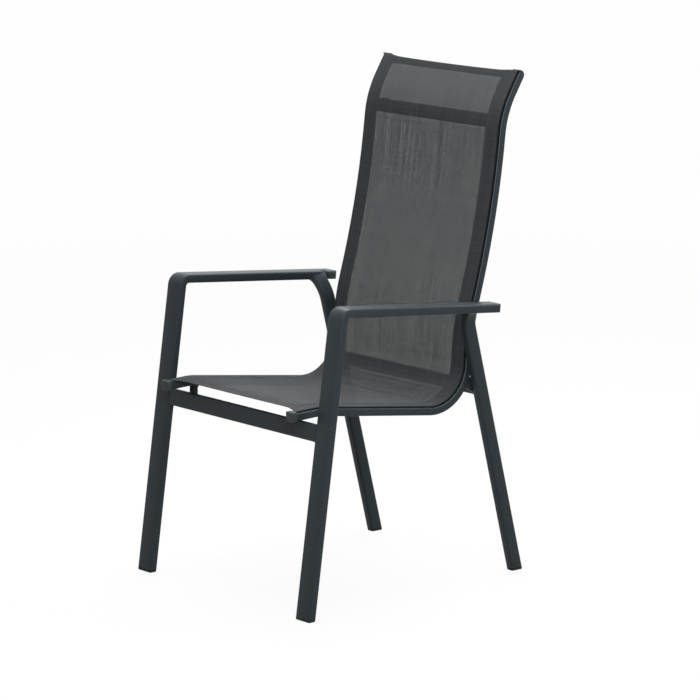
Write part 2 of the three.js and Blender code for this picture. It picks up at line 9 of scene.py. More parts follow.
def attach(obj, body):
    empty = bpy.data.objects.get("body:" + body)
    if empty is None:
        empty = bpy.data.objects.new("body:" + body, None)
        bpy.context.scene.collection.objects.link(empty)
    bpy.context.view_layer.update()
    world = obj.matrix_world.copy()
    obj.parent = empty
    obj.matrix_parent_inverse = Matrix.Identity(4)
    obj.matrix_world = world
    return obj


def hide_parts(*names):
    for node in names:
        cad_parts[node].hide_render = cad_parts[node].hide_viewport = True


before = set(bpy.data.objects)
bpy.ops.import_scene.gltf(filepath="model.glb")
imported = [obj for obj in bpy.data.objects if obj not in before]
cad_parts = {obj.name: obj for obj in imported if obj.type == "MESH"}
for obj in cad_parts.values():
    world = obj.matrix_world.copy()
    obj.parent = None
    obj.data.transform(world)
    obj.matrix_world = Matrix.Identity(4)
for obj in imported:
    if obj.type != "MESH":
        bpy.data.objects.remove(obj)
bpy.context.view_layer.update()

# Sling patio chair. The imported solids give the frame. The pieces below are their finer copies,
# and hems, seams and welds are added to them.
# Lengths are in millimetres until a mesh is made, and in metres after that.

MM = 0.001
ACROSS = Vector((1, 0, 0))  # to the sitter's left
FRONT_FOOT_TO_MIDDLE = 322.759  # level, from the front foot's axis to the chair's middle
GAP = 0.3  # between neighbouring pieces
TUBE_START = 6.0 + GAP  # above the floor, on top of a glide

# Arms and front legs
ARM_X = 276.0
LEG_WIDTH, LEG_DEPTH, LEG_CORNER, LEG_WALL = 46.8, 18.8, 4.5, 1.8
LEG_LEAN, ARM_DROP = math.radians(8.48), math.radians(5.34)
ARM_CORNER_HEIGHT, ARM_BEND = 639.0, 17.0
ARM_OVERHANG = 45.6
ARM_STEPS = (60.0, 4.0)  # at most, along a straight run, and in degrees round a bend

# Rear legs
REAR_LEG_X = 238.0
REAR_WIDTH, REAR_DEPTH, REAR_CORNER = 20.0, 30.5, 5.0
REAR_LEAN = math.radians(13.7)
REAR_FOOT_REACH = 617.24
REAR_BEND_DROP, REAR_BEND, REAR_BEND_TURN = 54.0, 72.0, math.radians(48.0)
REAR_STRAIGHT_SHARES = (0.1, 0.3, 0.5, 0.7, 0.9, 1.0)
REAR_BEND_STEPS = 20
CUT_HALVINGS = 20  # until the cut at the arm is found

# Cross bars: height and depth of the tube, its height and distance back, its lean and half its length
BAR_CORNER, BAR_WALL = 3.5, 1.6
FRONT_BAR_UP, REAR_BAR_UP = 384.9, 416.2
FRONT_BAR = (36.3, 15.0, FRONT_BAR_UP, FRONT_BAR_UP * math.tan(LEG_LEAN), LEG_LEAN, 252.3)
REAR_BAR = (28.0, 15.0, REAR_BAR_UP, REAR_FOOT_REACH - REAR_BAR_UP * math.tan(REAR_LEAN), -REAR_LEAN, 227.7)

# Rails
RAIL_X = 215.6
RAIL_WIDTH, RAIL_HEIGHT, RAIL_CORNER, RAIL_TOP_CORNER, RAIL_WALL = 23.2, 19.0, 2.4, 2.2, 1.6
LIP_THICKNESS, LIP_HEIGHT, LIP_CHAMFER = 3.2, 15.9, 1.4
LIP_TOP = (8, 11)  # corners of the outline along the lip's top
GROOVE_WIDTH, GROOVE_EDGE = 2.9, 1.5
BORE, BORE_WALL, BORE_RISE = 3.2, 2.8, 0.5
RAIL_START, RAIL_RISE = (21.4, 421.1), 2.1  # the front end, back and up, and its rise in degrees
RAIL_RUNS = [  # length or radius, and turn in degrees
    ("line", 47.0), (150.0, -9.6), ("line", 294.5), (95.0, 95.3),
    (530.0, -14.9), (1930.0, 10.6), (206.0, -25.6), ("line", 48.4),
]
TOP_CAP_LENGTH, TOP_CAP_WIDTH = 4.0, 25.2
END_ROUND = 11.0  # along the rail's back, up to the crown of its top cap
END_STATIONS = (7.0, 5.2, 3.6, 2.2, 1.0, 0.0)  # before the rail's top end
RAIL_STEPS = (40.0, 2.5)

# Softened edges of the small pieces
CAP_EDGE, GLIDE_EDGE, PLATE_EDGE = 1.6, 1.0, 0.5

# Sling
CLOTH_RISE = 10.7  # of the cloth's top face above the rails' axis
CLOTH_STEP = 0.65  # from one layer of cloth to the next
HEM_EDGE = 182.0  # from the middle to the inner edge of a side hem
CLOTH_STEPS = 14  # from the middle to that edge
HEM_COLUMNS = (190.0, 197.0, 204.0, 212.0)  # across, on the flat part of a side hem
FOLD_CENTRE, FOLD_STEPS = (219.9, 8.0), 6  # of the fold into the groove, across and up
TAB_END = 3.9
FRONT_EDGE = 16.2  # of the straight edge behind the corners, along the rails
FLARE_START, FLARE_END = 176.0, 222.0  # across, from the straight front edge to the groove
FLARE_CURVE = 1.1
TOP_RECESS = 4.6  # of the middle of the top edge below its corners
TOP_BOW = 1.4  # of the top edge between its hems
TOP_RISE_START, TOP_RISE_END = 160.0, 206.0
FRONT_HEM, TOP_HEM = 24.0, 15.0
HEM_CLEARANCE = 8.0  # from a folded hem to the next row of points
HEM_STEPS, HEM_TURNS = 3, (45, 90, 135)  # across a folded hem, and in degrees round its edge
SHEET_STEPS, SIDE_HEM_STEPS = (18.0, 1.2), (18.0, 2.0)
SAG_DEPTH, SAG_REACH = 3.0, 204.0  # in the middle, and across to where it ends
BEND_CREASES = [  # along the rails, slant, half width, height and reach to each side
    (449.0, 0.0, 3.6, 1.5, 195.0), (397.0, 0.08, 6.0, 1.0, 150.0),
    (424.0, -0.03, 10.0, -0.7, 185.0), (372.0, 0.05, 9.0, 0.6, 165.0),
]

# Weave, with places on the cloth in metres
SEAT_CLOTH_END, BACK_CLOTH_START = 0.43, 0.50  # along the rails, where the weave opens
SEAT_OPENING = 0.5  # of the back's opening
STREAKS_ACROSS, STREAKS_ALONG = 270.0, 2.5  # to a metre
STREAK_SPREAD = 0.62  # of the openings' width
PAINTED_GROOVE_SHADE_START, PAINTED_GROOVE_SHADE_END = 0.2205, 0.2225  # from the middle, where the cloth turns into the groove; there its colour is darkened as painted shade

# Seams
SIDE_SEAMS = (("inner", 3.5), ("outer", 8.5))  # from the side hem's inner edge
END_SEAM = 3.5  # from the inner edge of the front hem and of the top hem
SEAM_STOP = 4.0  # from the ends of a side seam to the ends of the cloth
SIDE_SEAM_STEPS, END_SEAM_STEPS = 220, 80
STITCH_LENGTH, STITCH_GAP, STITCH_THICKNESS, STITCH_SIDES = 3.2, 1.0, 0.45, 6
STITCH_RINGS = (  # share of its length, rise, and share of its thickness
    (0.0, -0.1, 0.5), (0.2, 0.22, 1.0), (0.8, 0.22, 1.0), (1.0, -0.1, 0.5),
)
STITCH_AHEAD = 0.5  # to the place that gives a stitch its direction

# Welds
ARM_FILLET, BAR_FILLET, FILLET_STEPS = 9.0, 2.2, 6
FILLET_ROOT = 0.04  # share of the way from a fillet's corner to the tube's middle


# Paths

class TubeAxis:
    """A tube's axis in an upright plane: its distance back, its height and its rise at any length."""

    def __init__(self, start, rise, runs):
        self.runs = []
        back, height, angle, reached = start[0], start[1], math.radians(rise), 0.0
        for run in runs:
            if run[0] == "line":
                length, turn = run[1], 0.0
            else:
                turn = math.radians(run[1])
                length = abs(run[0] * turn)
            self.runs.append((reached, length, turn, back, height, angle))
            back, height, angle = self.step(self.runs[-1], length)
            reached += length
        self.length = reached

    @staticmethod
    def step(run, distance):
        _, length, turn, back, height, angle = run
        if turn == 0.0:
            return back + distance * math.cos(angle), height + distance * math.sin(angle), angle
        radius = length / turn
        end = angle + distance / radius
        return (back + radius * (math.sin(end) - math.sin(angle)),
                height - radius * (math.cos(end) - math.cos(angle)), end)

    def at(self, distance):
        for run in self.runs:
            if distance <= run[0] + run[1] or run is self.runs[-1]:
                return self.step(run, distance - run[0])

    def distances(self, line_step, turn_step):
        """Lengths along the axis that follow its straight runs and its bends, these in degrees."""
        found = [0.0]
        for reached, length, turn, *_ in self.runs:
            steps = max(math.ceil(length / line_step), math.ceil(math.degrees(abs(turn)) / turn_step))
            found += [reached + length * step / steps for step in range(1, steps + 1)]
        return found


rail_axis = TubeAxis(RAIL_START, RAIL_RISE, RAIL_RUNS)


def row(x, back, height):
    """A place in the chair's frame, from its distance across, behind the front foot's axis and up."""
    return Vector((x, back - FRONT_FOOT_TO_MIDDLE, height)) * MM


def station(x, back, height, angle):
    """A place on an axis with the directions across and square to the axis."""
    return row(x, back, height), ACROSS, Vector((0, -math.sin(angle), math.cos(angle)))


# Sections: outlines as lists of points, anticlockwise

def arc(centre, radius, start, end, steps):
    turns = [math.radians(start + (end - start) * step / steps) for step in range(steps + 1)]
    return [(centre[0] + radius * math.cos(turn), centre[1] + radius * math.sin(turn)) for turn in turns]


def rounded(width, height, corner, steps=6):
    right, top = width / 2 - corner, height / 2 - corner
    return (arc((right, -top), corner, -90, 0, steps) + arc((right, top), corner, 0, 90, steps)
            + arc((-right, top), corner, 90, 180, steps) + arc((-right, -top), corner, 180, 270, steps))


def tube_section(width, height, corner, wall, steps=6):
    return [rounded(width, height, corner, steps),
            rounded(width - 2 * wall, height - 2 * wall, corner - wall, 3)]


def rail_section():
    """The rail with its lip, the groove behind it and the bore below; its outer side is on the right."""
    half, top = RAIL_WIDTH / 2, RAIL_HEIGHT / 2
    bore = (half - BORE_WALL - BORE, BORE_RISE)
    outer = half - LIP_THICKNESS
    inner = outer - GROOVE_WIDTH
    lip = LIP_HEIGHT - top
    into = math.degrees(math.acos((inner - bore[0]) / BORE))
    out = 360 + math.degrees(math.acos((outer - bore[0]) / BORE))
    line = arc((half - RAIL_CORNER, RAIL_CORNER - top), RAIL_CORNER, -90, 0, 5)
    line += arc((half - LIP_CHAMFER, lip - LIP_CHAMFER), LIP_CHAMFER, 0, 90, 3)
    line += arc((outer + LIP_CHAMFER, lip - LIP_CHAMFER), LIP_CHAMFER, 90, 180, 3)
    line += arc(bore, BORE, out, into, 20)
    line += arc((inner - GROOVE_EDGE, top - GROOVE_EDGE), GROOVE_EDGE, 0, 90, 5)
    line += arc((RAIL_TOP_CORNER - half, top - RAIL_TOP_CORNER), RAIL_TOP_CORNER, 90, 180, 5)
    line += arc((RAIL_CORNER - half, RAIL_CORNER - top), RAIL_CORNER, 180, 270, 5)
    side, floor = half - RAIL_WALL, RAIL_WALL - top
    beside, under = bore[0] - BORE - RAIL_WALL, BORE_RISE - BORE - RAIL_WALL
    chamber = [(-side, floor), (side, floor), (side, under), (beside, under), (beside, -floor),
               (-side, -floor)]
    return [line, chamber]


# Meshes

def shown(name, mesh, material, crease):
    """A piece of the chair with this mesh, smooth but for the edges sharper than crease."""
    mesh.materials.append(material)
    mesh.shade_smooth()
    mesh.set_sharp_from_angle(angle=math.radians(crease))
    piece = bpy.data.objects.new(name, mesh)
    bpy.context.scene.collection.objects.link(piece)
    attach(piece, "root")
    return piece


def new_piece(name, points, faces, material, crease=35.0, uv=None, painted_highlight=None):
    """A piece from points in the chair's frame: cloth with its places, or a closed solid."""
    mesh = bpy.data.meshes.new(name)
    mesh.from_pydata([tuple(point) for point in points], [], faces)
    # Marked points get a painted highlight: the coat is made paler there
    if painted_highlight:
        mesh.attributes.new("painted_highlight", "FLOAT", "POINT").data.foreach_set("value", painted_highlight)
    if uv:
        layer = mesh.uv_layers.new(name="cloth")
        for loop in mesh.loops:
            layer.data[loop.index].uv = uv[loop.vertex_index]
    else:
        shell = bmesh.new()
        shell.from_mesh(mesh)
        bmesh.ops.remove_doubles(shell, verts=shell.verts, dist=1e-6)
        bmesh.ops.recalc_face_normals(shell, faces=shell.faces)
        shell.to_mesh(mesh)
        shell.free()
    piece = shown(name, mesh, material, crease)
    mesh.validate()
    return piece


def mirrored(points):
    return [Vector((-point.x, point.y, point.z)) for point in points]


def ring_faces(first, rings, count):
    """The faces between rings of points that follow each other, from the point numbered first."""
    faces = []
    for ring in range(rings - 1):
        here, there = first + ring * count, first + (ring + 1) * count
        for corner in range(count):
            following = (corner + 1) % count
            faces.append((here + corner, here + following, there + following, there + corner))
    return faces


def swept(loops, stations):
    """Points and faces of a closed solid: an outline and its holes carried through the stations."""
    points, faces, start_rim, end_rim = [], [], [], []
    for loop in loops:
        first, count = len(points), len(loop)
        for origin, across, up in stations:
            points += [origin + across * (p * MM) + up * (q * MM) for p, q in loop]
        faces += ring_faces(first, len(stations), count)
        start_rim += range(first, first + count)
        end_rim += range(len(points) - count, len(points))
    for triangle in tessellate_polygon([[Vector((p, q, 0)) for p, q in loop] for loop in loops]):
        faces.append(tuple(start_rim[corner] for corner in triangle))
        faces.append(tuple(end_rim[corner] for corner in triangle))
    return points, faces


def pair(name, points, faces, material, slot, replaced=None, crease=35.0, uv=None, painted_highlight=None):
    """A left piece and the right one that mirrors it."""
    pieces = []
    for side, places in (("left", points), ("right", mirrored(points))):
        turned = faces if side == "left" else [tuple(reversed(face)) for face in faces]
        piece = new_piece(f"{name}_{side}", places, turned, material, crease, uv, painted_highlight)
        if replaced:
            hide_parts(f"{replaced}_{side}")
        pieces.append(piece)
    return pieces


def refined(node, material, name, bevel=0.0, crease=30.0):
    """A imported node's own shape with joined corners, softened edges and smooth shading."""
    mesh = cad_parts[node].data.copy()
    shell = bmesh.new()
    shell.from_mesh(mesh)
    bmesh.ops.remove_doubles(shell, verts=shell.verts, dist=2e-6)
    bmesh.ops.dissolve_limit(shell, angle_limit=math.radians(1), verts=shell.verts, edges=shell.edges)
    if bevel:
        sharp = [edge for edge in shell.edges
                 if len(edge.link_faces) == 2 and edge.calc_face_angle(0) > math.radians(crease)]
        bmesh.ops.bevel(shell, geom=sharp, offset=bevel * MM, segments=2, profile=0.5, affect="EDGES",
                        clamp_overlap=True)
    bmesh.ops.recalc_face_normals(shell, faces=shell.faces)
    shell.to_mesh(mesh)
    shell.free()
    mesh.materials.clear()
    for attribute in list(mesh.attributes):
        if attribute.name == "custom_normal":
            mesh.attributes.remove(attribute)
    piece = shown(name, mesh, material, crease)
    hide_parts(node)
    return piece


# Materials

BUMP_DEPTH = 0.0004  # in metres
CLEAR_COAT_ROUGHNESS = 0.22
PAINTED_HIGHLIGHT_GAIN = 2.2  # by how much paler the coat is painted where a highlight is marked
YARN_PAINTED_SHADING, YARN_ROUGHNESS = (0.6, 1.15), (0.85, 0.7)  # from between the yarns to the top of a yarn; the colour's spread is painted shade between the yarns and a painted highlight on their tops
STREAK_START, STREAK_END, STREAK_SHADE = 0.3, 0.7, (0.92, 1.08)
PAINTED_GROOVE_SHADE = 0.3  # painted shade: the share of the cloth's colour kept down in the groove
WEFT_SEED = 400.5  # for other tones than the warp's


def feed(tree, node, values):
    """Feeds a node's inputs from sockets, or sets them to plain values."""
    for key, value in values.items():
        if isinstance(value, bpy.types.NodeSocket):
            tree.links.new(value, node.inputs[key])
        else:
            node.inputs[key].default_value = value


def wire(tree, kind, values=None, **settings):
    """The outputs of a new node with its settings, and its inputs fed with the values."""
    node = tree.nodes.new(kind)
    for key, value in settings.items():
        setattr(node, key, value)
    feed(tree, node, values or {})
    return node.outputs


def sums(tree, operation, *values):
    """One operation on its values, or on the first two and then on each that follows."""
    result = wire(tree, "ShaderNodeMath", dict(enumerate(values[:2])), operation=operation)[0]
    return sums(tree, operation, result, *values[2:]) if len(values) > 2 else result


def mapped(tree, value, start, end, low, high):
    """A value that goes from start to end, spread from low to high."""
    return wire(tree, "ShaderNodeMapRange", {"Value": value, "From Min": start, "From Max": end,
                                             "To Min": low, "To Max": high})[0]


def blended(tree, share, first, second):
    return wire(tree, "ShaderNodeMix", {0: share, 2: first, 3: second})[0]


def scaled(tree, colour, factor):
    return wire(tree, "ShaderNodeVectorMath", {0: colour, 1: factor}, operation="MULTIPLY")[0]


def bumped(tree, height, strength):
    return wire(tree, "ShaderNodeBump", {"Height": height, "Strength": strength, "Distance": BUMP_DEPTH})[0]


def node_group(name, inputs, outputs):
    """A group with its input sockets, its output node, and a colour or number as each input's value."""
    group = bpy.data.node_groups.new(name, "ShaderNodeTree")
    for label, value in inputs.items():
        kind = "NodeSocketColor" if isinstance(value, tuple) else "NodeSocketFloat"
        group.interface.new_socket(name=label, in_out="INPUT", socket_type=kind).default_value = value
    for label in outputs:
        kind = "NodeSocketColor" if label == "Colour" else "NodeSocketFloat"
        group.interface.new_socket(name=label, in_out="OUTPUT", socket_type=kind)
    return group, group.nodes.new("NodeGroupInput").outputs, group.nodes.new("NodeGroupOutput")


def coat_texture_group():
    """The pebbled skin of a coating, with the faint unevenness of its colour and a painted highlight, a paler
    coat, on marked edges.
    """
    group, given, made = node_group(
        "coat_texture",
        {"Colour": (0.05, 0.06, 0.065, 1), "Grain": 900.0, "Roughness": 0.45, "Unevenness": 0.1, "Highlight": 0.0},
        ["Colour", "Roughness", "Height"])
    place = wire(group, "ShaderNodeTexCoord")["Object"]
    pebbles = wire(group, "ShaderNodeTexNoise", {"Vector": place, "Scale": given["Grain"], "Detail": 2.0,
                                                "Roughness": 0.55})["Fac"]
    clouds = wire(group, "ShaderNodeTexNoise", {"Vector": place, "Scale": 9.0, "Detail": 4.0})["Fac"]
    swing, speck = (sums(group, "MULTIPLY", sums(group, "SUBTRACT", noise, 0.5), given["Unevenness"])
                    for noise in (clouds, pebbles))
    tinted = scaled(group, given["Colour"], sums(group, "ADD", swing, speck, 1.0))
    # Painted highlight: the coat is paler on the marked points
    highlight_mask = wire(group, "ShaderNodeAttribute", attribute_name="painted_highlight")["Fac"]
    highlight_factor = sums(group, "ADD", 1.0, sums(group, "MULTIPLY", highlight_mask, given["Highlight"], PAINTED_HIGHLIGHT_GAIN))
    feed(group, made, {
        "Colour": scaled(group, tinted, highlight_factor),
        "Roughness": sums(group, "ADD", given["Roughness"], sums(group, "MULTIPLY", swing, 1.5)),
        "Height": pebbles})
    return group


def weave_group():
    """Plain weave of coated yarns: which yarn is on top, how it is rounded, and the openings between."""
    group, given, made = node_group("yarn_weave", {"Pitch": 1.6, "Opening": 0.24},
                                    ["Relief", "Hole", "Streak", "Tone", "Groove_shade"])
    cloth = wire(group, "ShaderNodeUVMap", uv_map="cloth")[0]
    girth, length, _ = wire(group, "ShaderNodeSeparateXYZ", {0: cloth})
    from_middle = sums(group, "ABSOLUTE", girth)

    # The openings: narrower in the seat, uneven from yarn to yarn, and shut where the cloth is double
    drawn = wire(group, "ShaderNodeCombineXYZ", {0: sums(group, "MULTIPLY", girth, STREAKS_ACROSS),
                                                 1: sums(group, "MULTIPLY", length, STREAKS_ALONG)})[0]
    streak = wire(group, "ShaderNodeTexNoise", {"Vector": drawn, "Scale": 1.0, "Detail": 0.5,
                                                "Roughness": 0.5})["Fac"]
    opening = sums(
        group, "MULTIPLY", given["Opening"],
        mapped(group, length, SEAT_CLOTH_END, BACK_CLOTH_START, SEAT_OPENING, 1.0),
        sums(group, "ADD", 1 - STREAK_SPREAD / 2, sums(group, "MULTIPLY", streak, STREAK_SPREAD)),
        sums(group, "LESS_THAN", from_middle, HEM_EDGE * MM),
        sums(group, "LESS_THAN", length, (rail_axis.length - TOP_RECESS - TOP_HEM) * MM))

    # The yarns: counted across and along the cloth, with the place inside each crossing
    across, along = (sums(group, "DIVIDE", sums(group, "MULTIPLY", way, 1 / MM), given["Pitch"])
                     for way in (girth, length))
    column, line = sums(group, "FLOOR", across), sums(group, "FLOOR", along)
    places = sums(group, "FRACT", across), sums(group, "FRACT", along)
    warp = sums(group, "MODULO", sums(group, "ABSOLUTE", sums(group, "ADD", column, line)), 2.0)
    bow_x, bow_y = (sums(group, "SINE", sums(group, "MULTIPLY", place, math.pi)) for place in places)
    relief = blended(group, warp, sums(group, "MULTIPLY", bow_x, sums(group, "SQRT", bow_y)),
                     sums(group, "MULTIPLY", bow_y, sums(group, "SQRT", bow_x)))
    border = sums(group, "SUBTRACT", 0.5, sums(group, "MULTIPLY", opening, 0.5))
    edges = [sums(group, "ABSOLUTE", sums(group, "SUBTRACT", place, 0.5)) for place in places]
    hole = sums(group, "MULTIPLY", *(sums(group, "GREATER_THAN", edge, border) for edge in edges))
    warp_tone, weft_tone = (
        wire(group, "ShaderNodeTexWhiteNoise", {"W": yarn}, noise_dimensions="1D")["Value"]
        for yarn in (column, sums(group, "ADD", line, WEFT_SEED)))
    # The last output marks the cloth down in the groove, whose colour is darkened there as painted shade
    feed(group, made, {
        "Relief": relief, "Hole": hole, "Streak": streak, "Tone": blended(group, warp, weft_tone, warp_tone),
        "Groove_shade": mapped(group, from_middle, PAINTED_GROOVE_SHADE_START, PAINTED_GROOVE_SHADE_END, 0.0, 1.0)})
    return group


def shader_material(name):
    material = bpy.data.materials.new(name)
    material.use_nodes = True
    return material, material.node_tree, material.node_tree.nodes["Principled BSDF"]


def coated(name, colour, grain, roughness, unevenness, bump, gloss=0.15, clear=0.0, metallic=0.0, highlight=0.0):
    material, tree, shader = shader_material(name)
    skin = wire(tree, "ShaderNodeGroup", {"Colour": (*colour, 1), "Grain": grain, "Roughness": roughness,
                                          "Unevenness": unevenness, "Highlight": highlight}, node_tree=coat_texture)
    feed(tree, shader, {
        "Base Color": skin["Colour"], "Roughness": skin["Roughness"], "Metallic": metallic,
        "Specular IOR Level": gloss, "Coat Weight": clear, "Coat Roughness": CLEAR_COAT_ROUGHNESS,
        "Normal": bumped(tree, skin["Height"], bump)})
    return material


def mesh_cloth(name, dark, light):
    """Woven coated yarn. Its openings let what is behind show through."""
    material, tree, shader = shader_material(name)
    yarns = wire(tree, "ShaderNodeGroup", node_tree=yarn_weave)
    tint = wire(tree, "ShaderNodeMix", {0: yarns["Tone"], 6: (*dark, 1), 7: (*light, 1)}, data_type="RGBA")[2]
    # Painted shade between the yarns and a painted highlight on their tops, following the yarns' relief
    yarn_painted_shading = mapped(tree, yarns["Relief"], 0.0, 1.0, *YARN_PAINTED_SHADING)
    drawn = mapped(tree, yarns["Streak"], STREAK_START, STREAK_END, *STREAK_SHADE)
    # Painted shade: the cloth is darkened where it turns down into the groove
    groove_shade = mapped(tree, yarns["Groove_shade"], 0.0, 1.0, 1.0, PAINTED_GROOVE_SHADE)
    feed(tree, shader, {
        "Base Color": scaled(tree, tint, sums(tree, "MULTIPLY", yarn_painted_shading, drawn, groove_shade)),
        "Roughness": mapped(tree, yarns["Relief"], 0.0, 1.0, *YARN_ROUGHNESS),
        "Specular IOR Level": 0.08, "Sheen Weight": 0.1, "Sheen Roughness": 0.45,
        "Alpha": sums(tree, "SUBTRACT", 1.0, yarns["Hole"]),
        "Normal": bumped(tree, yarns["Relief"], 0.5)})
    return material


coat_texture = coat_texture_group()
yarn_weave = weave_group()
# The powder coat takes the painted highlight on marked points
powder_coat = coated("powder_coat_anthracite", (0.038, 0.0486, 0.0557), 1100.0, 0.38, 0.12, 0.25,
                     gloss=0.1, clear=0.06, highlight=1.0)
cap_plastic = coated("cap_plastic_grey", (0.064, 0.074, 0.078), 1700.0, 0.5, 0.1, 0.2)
glide_plastic = coated("glide_plastic_black", (0.02, 0.023, 0.025), 1500.0, 0.55, 0.15, 0.25)
screw_steel = coated("screw_stainless", (0.5, 0.51, 0.52), 2400.0, 0.3, 0.12, 0.15, gloss=0.5, metallic=1.0)
rod_plastic = coated("hem_rod_plastic", (0.3, 0.31, 0.31), 800.0, 0.55, 0.1, 0.1)
sling_mesh = mesh_cloth("sling_mesh_grey", (0.042, 0.0445, 0.0475), (0.063, 0.0665, 0.0705))
thread_black = coated("seam_thread_dark", (0.03, 0.033, 0.036), 3000.0, 0.6, 0.2, 0.3)


# Arms and front legs

def arm_axis():
    """The axis of front leg and arm, and the height at which the rear leg's axis meets it."""
    bend = math.pi / 2 - LEG_LEAN + ARM_DROP
    tangent = ARM_BEND * math.tan(bend / 2)
    corner_back = ARM_CORNER_HEIGHT * math.tan(LEG_LEAN)
    slope, drop = math.tan(REAR_LEAN), math.tan(ARM_DROP)
    meet = (ARM_CORNER_HEIGHT - (REAR_FOOT_REACH - corner_back) * drop) / (1 - slope * drop)
    reach = REAR_FOOT_REACH - meet * slope + ARM_OVERHANG - corner_back
    leg = (ARM_CORNER_HEIGHT - TUBE_START) / math.cos(LEG_LEAN) - tangent
    runs = [("line", leg), (ARM_BEND, -math.degrees(bend)), ("line", reach / math.cos(ARM_DROP) - tangent)]
    return TubeAxis((TUBE_START * math.tan(LEG_LEAN), TUBE_START), 90 - math.degrees(LEG_LEAN), runs), meet


def front_legs_and_arms():
    stations = [station(ARM_X, *arm_line.at(distance)) for distance in arm_line.distances(*ARM_STEPS)]
    foot, across, _ = stations[0]
    stations[0] = (foot, across, Vector((0, -1, 0)) / math.cos(LEG_LEAN))  # cut level over the glide
    points, faces = swept(tube_section(LEG_WIDTH, LEG_DEPTH, LEG_CORNER, LEG_WALL), stations)
    pair("arm_and_front_leg", points, faces, powder_coat, "powder_coat", "front_leg_arm")


arm_line, meeting_height = arm_axis()
front_legs_and_arms()


# Rear legs

def inside_arm(point):
    """How deep a point lies in the arm's tube; below nought is outside."""
    back = point.y / MM + FRONT_FOOT_TO_MIDDLE
    height = point.z / MM
    end_back, end_height, angle = arm_line.at(arm_line.length)
    square = (height - end_height) * math.cos(angle) - (back - end_back) * math.sin(angle)
    across = abs(point.x / MM - ARM_X) - (LEG_WIDTH / 2 - LEG_CORNER)
    high = abs(square) - (LEG_DEPTH / 2 - LEG_CORNER)
    outside = math.hypot(max(across, 0.0), max(high, 0.0)) + min(max(across, high), 0.0)
    return LEG_CORNER - outside


def rear_leg_stations():
    up_leg = Vector((0, -math.sin(REAR_LEAN), math.cos(REAR_LEAN)))
    depth = Vector((0, math.cos(REAR_LEAN), math.sin(REAR_LEAN)))
    foot = row(REAR_LEG_X, REAR_FOOT_REACH - TUBE_START * math.tan(REAR_LEAN), TUBE_START)
    straight = (meeting_height - REAR_BEND_DROP - TUBE_START) / math.cos(REAR_LEAN)
    stations = [(foot, ACROSS, Vector((0, 1, 0)) / math.cos(REAR_LEAN))]
    for share in REAR_STRAIGHT_SHARES:
        stations.append((foot + up_leg * (straight * share * MM), ACROSS, depth))
    bend = foot + up_leg * (straight * MM)
    for step in range(1, REAR_BEND_STEPS + 1):
        turn = REAR_BEND_TURN * step / REAR_BEND_STEPS
        place = (bend + up_leg * (REAR_BEND * math.sin(turn) * MM)
                 + ACROSS * (REAR_BEND * (1 - math.cos(turn)) * MM))
        stations.append((place, ACROSS * math.cos(turn) - up_leg * math.sin(turn), depth))
    return stations


def meets_arm(line):
    """The place where a line along the rear leg comes to the arm."""
    for before, after in zip(line, line[1:]):
        if inside_arm(after) > 0:
            low, high = 0.0, 1.0
            for _ in range(CUT_HALVINGS):
                middle = (low + high) / 2
                if inside_arm(before.lerp(after, middle)) > 0:
                    high = middle
                else:
                    low = middle
            return before.lerp(after, low)
    return line[-1]


def rim_below(lines, ends):
    """For each line's end on the arm, a place a little way back down the line."""
    places = []
    for line, end in zip(lines, ends):
        reach = (end - line[0]).length - ARM_FILLET * MM
        places.append(min(line, key=lambda point: abs((point - line[0]).length - reach)))
    return places


def rear_legs():
    """Both rear legs. Gives the left one's rim at the arm and the places below it, for the weld."""
    stations = rear_leg_stations()
    lines = [[origin + across * (p * MM) + up * (q * MM) for origin, across, up in stations]
             for p, q in rounded(REAR_WIDTH, REAR_DEPTH, REAR_CORNER)]
    ends = [meets_arm(line) for line in lines]
    points, faces = [], []
    for line, end in zip(lines, ends):
        reach = (end - line[0]).length
        points += [point if (point - line[0]).length < reach else end for point in line]
    rings, count = len(stations), len(lines)
    for corner in range(count):
        here, there = corner * rings, ((corner + 1) % count) * rings
        faces += [(here + ring, there + ring, there + ring + 1, here + ring + 1) for ring in range(rings - 1)]
    faces.append(tuple(corner * rings for corner in range(count)))
    faces.append(tuple(corner * rings + rings - 1 for corner in reversed(range(count))))
    pair("rear_leg_tube", points, faces, powder_coat, "powder_coat", "rear_leg")
    return list(zip(ends, rim_below(lines, ends)))


rear_leg_ends = rear_legs()


# Cross bars

def bar_ways(lean):
    """The ways back and up of a bar that leans with its legs."""
    return Vector((0, math.cos(lean), -math.sin(lean))), Vector((0, math.sin(lean), math.cos(lean)))


def cross_bar(name, node, height, depth, up_to, back, lean, reach):
    stations = [(row(x, back, up_to), *bar_ways(lean)) for x in (-reach, 0.0, reach)]
    points, faces = swept(tube_section(depth, height, BAR_CORNER, BAR_WALL, 5), stations)
    piece = new_piece(name, points, faces, powder_coat)
    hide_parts(node)


cross_bar("front_cross_bar", "front_crossbar", *FRONT_BAR)
cross_bar("rear_cross_bar", "rear_crossbar", *REAR_BAR)


# Rails

def kept_depth(distance):
    """The share of its depth that the rail's back keeps where its top end is rounded."""
    left = rail_axis.length + TOP_CAP_LENGTH - distance
    return math.sqrt(max(1 - max(1 - left / END_ROUND, 0.0) ** 2, 0.0))


def rounded_back(points):
    """The points with the back of the rail's top end rounded."""
    origin, across, up = station(RAIL_X, *rail_axis.at(rail_axis.length))
    ahead = up.cross(across)
    for point in points:
        along, depth = (point - origin).dot(ahead) / MM, (point - origin).dot(up) / MM
        if along > TOP_CAP_LENGTH - END_ROUND and -RAIL_HEIGHT < depth < 0:
            point -= up * (depth * (1 - kept_depth(rail_axis.length + along)) * MM)
    return points


